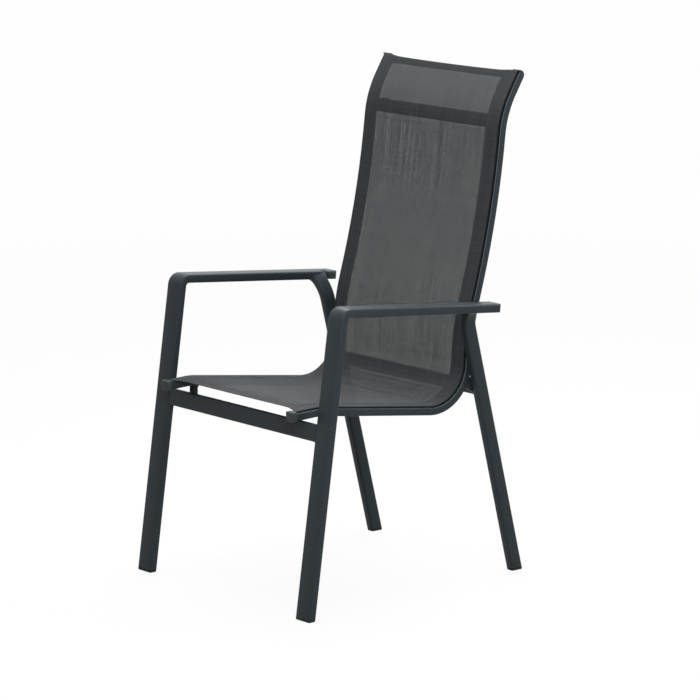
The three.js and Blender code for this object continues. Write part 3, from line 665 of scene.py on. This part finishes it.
def rails():
    """Both rails, with a mark on the points of the lip's top, where a highlight is painted as a paler coat.
    """
    distances = rail_axis.distances(*RAIL_STEPS)[:-1] + [rail_axis.length - left for left in END_STATIONS]
    stations = [station(RAIL_X, *rail_axis.at(distance)) for distance in distances]
    section = rail_section()
    points, faces = swept(section, stations)
    # The lip's top is marked for a painted highlight, a paler coat along it
    lip = [1.0 if LIP_TOP[0] <= corner <= LIP_TOP[1] else 0.0 for corner in range(len(section[0]))]
    painted_highlight = lip * len(stations)
    painted_highlight += [0.0] * (len(points) - len(painted_highlight))
    pair("seat_and_back_rail", rounded_back(points), faces, powder_coat, "powder_coat", "seat_back_rail",
         30.0, painted_highlight=painted_highlight)


rails()


# Caps, glides, plates, screws and rods

def top_cap(side):
    """The cap on a rail's top end, flush with the rail and rounded with its back."""
    piece = refined(f"rail_top_cap_{side}", cap_plastic, f"rail_cap_top_{side}")
    sign, middle = (1 if side == "left" else -1), RAIL_X * MM
    places = [Vector((sign * vertex.co.x, vertex.co.y, vertex.co.z)) for vertex in piece.data.vertices]
    for vertex, place in zip(piece.data.vertices, rounded_back(places)):
        vertex.co = (sign * (middle + (place.x - middle) * RAIL_WIDTH / TOP_CAP_WIDTH), place.y, place.z)


for side in ("left", "right"):
    refined(f"arm_end_cap_{side}", cap_plastic, f"arm_cap_{side}", CAP_EDGE)
    refined(f"front_glide_{side}", glide_plastic, f"front_foot_glide_{side}", GLIDE_EDGE)
    refined(f"rear_glide_{side}", glide_plastic, f"rear_foot_glide_{side}", GLIDE_EDGE)
    refined(f"rail_front_cap_{side}", cap_plastic, f"rail_cap_front_{side}")
    top_cap(side)
    refined(f"front_rail_plate_{side}", powder_coat, f"front_plate_{side}", PLATE_EDGE)
    refined(f"rear_rail_plate_{side}", powder_coat, f"rear_plate_{side}", PLATE_EDGE)
    refined(f"spreader_tongue_{side}", powder_coat, f"spreader_plug_{side}")
    refined(f"spreader_screw_{side}", screw_steel, f"spreader_bolt_{side}")
    refined(f"hem_rod_{side}", rod_plastic, f"side_hem_rod_{side}")
refined("spreader_bar", powder_coat, "spreader_tube")


# Sling

def cloth_columns():
    """Across one half from the middle: place, rise from the rails' axis, tilt of the cloth, girth."""
    flat = [HEM_EDGE * step / CLOTH_STEPS for step in range(CLOTH_STEPS + 1)] + list(HEM_COLUMNS)
    columns = [(across, CLOTH_RISE, 0.0, across) for across in flat]
    radius = CLOTH_RISE - FOLD_CENTRE[1]
    for step in range(FOLD_STEPS + 1):
        tilt = math.pi / 2 * step / FOLD_STEPS
        columns.append((FOLD_CENTRE[0] + radius * math.sin(tilt), FOLD_CENTRE[1] + radius * math.cos(tilt),
                        tilt, FOLD_CENTRE[0] + radius * tilt))
    across, _, _, girth = columns[-1]
    columns.append((across, TAB_END, math.pi / 2, girth + FOLD_CENTRE[1] - TAB_END))
    return columns


def share_between(value, low, high):
    return min(max((value - low) / (high - low), 0.0), 1.0)


def front_edge(across):
    return FRONT_EDGE * (1 - share_between(abs(across), FLARE_START, FLARE_END) ** FLARE_CURVE)


def top_edge(across):
    rise = share_between(abs(across), TOP_RISE_START, TOP_RISE_END)
    bow = TOP_BOW * share_between(abs(across), 0.0, TOP_RISE_START) ** 2
    return rail_axis.length - (TOP_RECESS - bow) * (1 - rise * rise * (3 - 2 * rise))


def sag(distance, across):
    """How far the stretched cloth lies below a straight line between the rails."""
    span = min(abs(across) / SAG_REACH, 1.0)
    along = math.sin(math.pi * share_between(distance, 0.0, rail_axis.length)) ** 0.5
    return SAG_DEPTH * along * (1 - span * span)


def creases(distance, across):
    """Tension folds across the bend between seat and back, flat at the rails."""
    rise = 0.0
    for middle, slant, width, height, reach in BEND_CREASES:
        fade = max(1 - (abs(across) / reach) ** 2, 0.0)
        rise += height * fade * math.exp(-((distance - middle - slant * across) / width) ** 2)
    return rise


def cloth_point(distance, column, side, layer):
    """A point of the cloth; layer counts steps down from the top face towards the rails."""
    across, rise, tilt, _ = column
    back, height, angle = rail_axis.at(distance)
    fall = sag(distance, across) - creases(distance, across) if tilt == 0.0 else 0.0
    inward = layer * CLOTH_STEP
    place = across - inward * math.sin(tilt)
    lift = rise - inward * math.cos(tilt) - fall
    return row(side * place, back - lift * math.sin(angle), height + lift * math.cos(angle))


def between_hems(steps):
    """Lengths along the rails between the front hem and the top hem."""
    first, last = FRONT_EDGE + FRONT_HEM + HEM_CLEARANCE, rail_axis.length - TOP_HEM - HEM_CLEARANCE
    return [distance for distance in rail_axis.distances(*steps) if first < distance < last]


def hem_rows(end, hem, before, after):
    """To an end's edge on the layer before, round the fold, and back on the layer after."""
    rows = [(end, hem * (1 - step / HEM_STEPS), before) for step in range(HEM_STEPS + 1)]
    for turn in HEM_TURNS:
        swing = math.radians(turn)
        rows.append((end, -math.copysign(CLOTH_STEP / 2, hem) * math.sin(swing),
                     (before + after) / 2 + (before - after) / 2 * math.cos(swing)))
    return rows + [(end, hem * step / HEM_STEPS, after) for step in range(HEM_STEPS + 1)]


def sheet_rows():
    """Down the cloth from the front hem's return, round both folds, to the top hem's return."""
    inner = [("inner", distance, 0.0) for distance in between_hems(SHEET_STEPS)]
    return hem_rows("front", FRONT_HEM, 1.0, 0.0) + inner + hem_rows("top", -TOP_HEM, 0.0, 1.0)


def row_distance(kind, offset, across):
    if kind == "front":
        return front_edge(across) + offset
    if kind == "top":
        return top_edge(across) + offset
    return offset


def grid_faces(rows, columns):
    return [(line * columns + column, line * columns + column + 1,
             (line + 1) * columns + column + 1, (line + 1) * columns + column)
            for line in range(rows - 1) for column in range(columns - 1)]


def sling_sheet():
    half = cloth_columns()
    columns = [(-1, column) for column in reversed(half[1:])] + [(1, column) for column in half]
    rows = sheet_rows()
    points, uv = [], []
    for kind, offset, layer in rows:
        for side, column in columns:
            distance = row_distance(kind, offset, column[0])
            points.append(cloth_point(distance, column, side, layer))
            uv.append((side * column[3] * MM, distance * MM))
    piece = new_piece("sling_cloth", points, grid_faces(len(rows), len(columns)), sling_mesh, 60.0, uv)
    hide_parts("sling")
    return piece


def side_hems():
    """The second layer of each side hem, from the groove to the hem's inner edge."""
    columns = [column for column in cloth_columns() if column[0] >= HEM_EDGE - 1e-6]
    inner = [("inner", distance) for distance in between_hems(SIDE_HEM_STEPS)]
    lines = [("front", FRONT_HEM)] + inner + [("top", -TOP_HEM)]
    points, uv = [], []
    for kind, offset in lines:
        for column in columns:
            distance = row_distance(kind, offset, column[0])
            points.append(cloth_point(distance, column, 1, 1.0))
            uv.append((column[3] * MM, distance * MM))
    return pair("side_hem", points, grid_faces(len(lines), len(columns)), sling_mesh, "sling_mesh",
                crease=60.0, uv=uv)


sling = sling_sheet()
hems = side_hems()


# Seams: rows of stitches on the hems

def stitch_row(places):
    """Stitches along a line of (point, outward normal), each a small rounded bar that dips at its ends."""
    marks = [0.0]
    for before, after in zip(places, places[1:]):
        marks.append(marks[-1] + (after[0] - before[0]).length / MM)

    def along(distance):
        for index in range(len(marks) - 1):
            if distance <= marks[index + 1]:
                share = (distance - marks[index]) / (marks[index + 1] - marks[index])
                return (places[index][0].lerp(places[index + 1][0], share),
                        places[index][1].lerp(places[index + 1][1], share).normalized())
        return places[-1]

    points, faces = [], []
    pitch = STITCH_LENGTH + STITCH_GAP
    for stitch in range(int(marks[-1] // pitch)):
        start = stitch * pitch + STITCH_GAP / 2
        first = len(points)
        for share, rise, width in STITCH_RINGS:
            centre, normal = along(start + STITCH_LENGTH * share)
            ahead, _ = along(start + STITCH_LENGTH * share + STITCH_AHEAD)
            aside = (ahead - centre).normalized().cross(normal).normalized()
            half = STITCH_THICKNESS / 2 * width
            for corner in range(STITCH_SIDES):
                turn = math.tau * corner / STITCH_SIDES
                points.append(centre + normal * ((rise + half * math.sin(turn)) * MM)
                              + aside * (half * math.cos(turn) * MM))
        faces += ring_faces(first, len(STITCH_RINGS), STITCH_SIDES)
        faces.append(tuple(reversed(range(first, first + STITCH_SIDES))))
        faces.append(tuple(range(len(points) - STITCH_SIDES, len(points))))
    return points, faces


def surface_place(distance, across):
    """A point on the cloth's top face and the way out of it."""
    column = (abs(across), CLOTH_RISE, 0.0, abs(across))
    side = 1 if across >= 0 else -1
    _, _, angle = rail_axis.at(distance)
    return cloth_point(distance, column, side, 0.0), Vector((0, -math.sin(angle), math.cos(angle)))


def seams():
    """Two rows on each side hem, and one row each on the front hem and the top hem."""
    pieces = []
    start, end = FRONT_EDGE + SEAM_STOP, rail_axis.length - SEAM_STOP
    for name, inset in SIDE_SEAMS:
        line = [surface_place(start + (end - start) * step / SIDE_SEAM_STEPS, HEM_EDGE + inset)
                for step in range(SIDE_SEAM_STEPS + 1)]
        pieces += pair(f"side_seam_{name}", *stitch_row(line), thread_black, "sling_mesh")
    for kind, offset in (("front", FRONT_HEM - END_SEAM), ("top", END_SEAM - TOP_HEM)):
        line = []
        for step in range(END_SEAM_STEPS + 1):
            across = -HEM_EDGE + 2 * HEM_EDGE * step / END_SEAM_STEPS
            line.append(surface_place(row_distance(kind, offset, across), across))
        piece = new_piece(f"{kind}_seam", *stitch_row(line), thread_black)
        pieces.append(piece)
    return pieces


seam_pieces = seams()


# Welds: hollow fillets, ground smooth, where one tube stands on another

def fillet(rim, size):
    """A ring of smooth weld; each rim place has its corner and the ways along the tube and its seat."""
    points, faces = [], []
    middle = sum((corner for corner, _, _ in rim), Vector()) / len(rim)
    for corner, along_tube, along_seat in rim:
        upper, lower = corner + along_tube * (size * MM), corner + along_seat * (size * MM)
        points.append(corner.lerp(middle, FILLET_ROOT))
        for step in range(FILLET_STEPS + 1):
            share = step / FILLET_STEPS
            points.append(upper * (1 - share) ** 2 + corner * (2 * share * (1 - share)) + lower * share ** 2)
    ring = FILLET_STEPS + 2
    for place in range(len(rim)):
        here, there = place * ring, ((place + 1) % len(rim)) * ring
        for corner in range(ring):
            following = (corner + 1) % ring
            faces.append((here + corner, there + corner, there + following, here + following))
    return points, faces


def bar_fillet(height, depth, up_to, back, lean, reach):
    back_way, up_way = bar_ways(lean)
    middle = row(reach + GAP, back, up_to)
    rim = []
    for p, q in rounded(depth, height, BAR_CORNER):
        out = (back_way * p + up_way * q).normalized()
        rim.append((middle + back_way * (p * MM) + up_way * (q * MM), Vector((-1, 0, 0)), out))
    return fillet(rim, BAR_FILLET)


def arm_fillet(rim_lines):
    """The rear leg's fillet, laid on the arm's rounded underside and inner side."""
    small = 0.2 * MM
    ways = (Vector((small, 0, 0)), Vector((0, small, 0)), Vector((0, 0, small)))
    middle = sum((end for end, _ in rim_lines), Vector()) / len(rim_lines)
    rim = []
    for end, below in rim_lines:
        out = Vector([inside_arm(end - way) - inside_arm(end + way) for way in ways]).normalized()
        aside = end - middle
        aside = (aside - out * aside.dot(out)).normalized()
        rest = end + aside * (ARM_FILLET * MM)
        rest += out * ((inside_arm(rest) + GAP) * MM)
        rim.append((end, (below - end).normalized(), (rest - end) / (ARM_FILLET * MM)))
    return fillet(rim, ARM_FILLET)


for name, weld in (("front_bar_weld", bar_fillet(*FRONT_BAR)), ("rear_bar_weld", bar_fillet(*REAR_BAR)),
                   ("arm_weld", arm_fillet(rear_leg_ends))):
    pair(name, *weld, powder_coat, "powder_coat", crease=70.0)


# Floor, light and camera

FLOOR_REACH = 40.0  # in metres, to each side
FLOOR_BOUNCE, FLOOR_SEEN = 0.3, 0.9  # share of the light that the floor gives back, to the chair and to view
FLOOR_NEAR, FLOOR_FAR = 1.0, 5.0  # from the chair's middle, in metres
NEAR_GLOW, FAR_GLOW = 0.93, 0.99  # share of plain white in the floor that is seen
ROOM_LIGHT = 0.075
LAMP_TARGET = (0, 0, 0.6)
STUDIO_LAMPS = [  # name, place and diameter in metres, and watts
    ("softbox_overhead", (0.0, 0.0, 3.2), 2.0, 60),
    ("softbox_behind", (-1.49, 1.224, 2.898), 1.8, 55),
    ("softbox_behind_right", (-0.024, 2.298, 2.528), 1.5, 22),
    ("softbox_right", (1.996, 2.039, 1.527), 1.5, 17),
    ("softbox_near", (1.42, -0.98, 1.3), 1.1, 15),
]

PICTURE, SENSOR = 700, 36  # the picture's side in pixels, and the sensor's in millimetres
FOCAL_LENGTH = 3762.089  # in pixels
VIEW_CENTRE = (348.69, 342.77)  # in pixels from the left and the top
CAMERA_AZIMUTH, CAMERA_ELEVATION = math.radians(50.609124), math.radians(10.882857)
CAMERA_ROLL = math.radians(-0.314529)
CAMERA_DISTANCE = 8.132433  # in metres, from its target
CAMERA_TARGET = Vector((0, (346.934 - FRONT_FOOT_TO_MIDDLE) * MM, 0.503399))


def sees_background(tree):
    """1 for light that shows the floor or the background, also in a gloss or through a clear part."""
    ray = wire(tree, "ShaderNodeLightPath")
    return sums(tree, "MAXIMUM", ray["Is Camera Ray"], ray["Is Glossy Ray"], ray["Is Transmission Ray"])


def studio_floor():
    """White where it is seen, with the chair's shadow, and darker in the light that it gives back."""
    mesh = bpy.data.meshes.new("studio_floor")
    corners = [(x * FLOOR_REACH, y * FLOOR_REACH, 0) for x, y in ((-1, -1), (1, -1), (1, 1), (-1, 1))]
    mesh.from_pydata(corners, [], [(0, 1, 2, 3)])
    floor = bpy.data.objects.new("studio_floor", mesh)
    bpy.context.scene.collection.objects.link(floor)
    material, tree, shader = shader_material("studio_floor_white")
    seen = sees_background(tree)
    paint = blended(tree, seen, FLOOR_BOUNCE, FLOOR_SEEN)
    tone = wire(tree, "ShaderNodeCombineColor", {0: paint, 1: paint, 2: paint})[0]
    feed(tree, shader, {"Base Color": tone, "Roughness": 0.95, "Specular IOR Level": 0.0})
    place = wire(tree, "ShaderNodeTexCoord")["Object"]
    away = wire(tree, "ShaderNodeVectorMath", {0: place}, operation="LENGTH")["Value"]
    glow = sums(tree, "MULTIPLY", seen, mapped(tree, away, FLOOR_NEAR, FLOOR_FAR, NEAR_GLOW, FAR_GLOW))
    white = wire(tree, "ShaderNodeEmission", {"Color": (1, 1, 1, 1), "Strength": 1.0})[0]
    mixed = wire(tree, "ShaderNodeMixShader", {0: glow, 1: shader.outputs[0], 2: white})[0]
    tree.links.new(mixed, tree.nodes["Material Output"].inputs["Surface"])
    mesh.materials.append(material)


def studio_world():
    """White where it is seen, and a weak even light on the chair."""
    world = bpy.data.worlds.new("studio_light")
    bpy.context.scene.world = world
    world.use_nodes = True
    tree = world.node_tree
    plain = tree.nodes["Background"]
    feed(tree, plain, {"Color": (1, 1, 1, 1), "Strength": ROOM_LIGHT})
    white = wire(tree, "ShaderNodeBackground", {"Color": (1, 1, 1, 1), "Strength": 1.0})[0]
    mixed = wire(tree, "ShaderNodeMixShader", {0: sees_background(tree), 1: plain.outputs[0], 2: white})[0]
    tree.links.new(mixed, tree.nodes["World Output"].inputs["Surface"])


def lamp(name, place, size, power):
    light = bpy.data.lights.new(name, "AREA")
    light.shape = "DISK"
    light.size = size
    light.energy = power
    piece = bpy.data.objects.new(name, light)
    bpy.context.scene.collection.objects.link(piece)
    piece.location = place
    piece.rotation_euler = (Vector(LAMP_TARGET) - Vector(place)).to_track_quat("-Z", "Y").to_euler()


def camera():
    """The photograph's camera, worked out from rows of parallel edges."""
    back = Vector((math.sin(CAMERA_AZIMUTH) * math.cos(CAMERA_ELEVATION),
                   -math.cos(CAMERA_AZIMUTH) * math.cos(CAMERA_ELEVATION), math.sin(CAMERA_ELEVATION)))
    level = Vector((math.cos(CAMERA_AZIMUTH), math.sin(CAMERA_AZIMUTH), 0))
    right = level * math.cos(CAMERA_ROLL) + back.cross(level) * math.sin(CAMERA_ROLL)
    up = back.cross(right)
    lens = bpy.data.cameras.new("photo_camera")
    lens.sensor_width = SENSOR
    lens.lens = FOCAL_LENGTH * SENSOR / PICTURE
    lens.shift_x = (PICTURE / 2 - VIEW_CENTRE[0]) / PICTURE
    lens.shift_y = (VIEW_CENTRE[1] - PICTURE / 2) / PICTURE
    piece = bpy.data.objects.new("photo_camera", lens)
    bpy.context.scene.collection.objects.link(piece)
    piece.location = CAMERA_TARGET + back * CAMERA_DISTANCE
    piece.rotation_mode = "QUATERNION"
    piece.rotation_quaternion = Matrix((right, up, back)).transposed().to_quaternion()
    bpy.context.scene.camera = piece


studio_floor()
studio_world()
for name, place, size, power in STUDIO_LAMPS:
    lamp(name, place, size, power)
camera()
bpy.context.scene.view_settings.view_transform = "Standard"
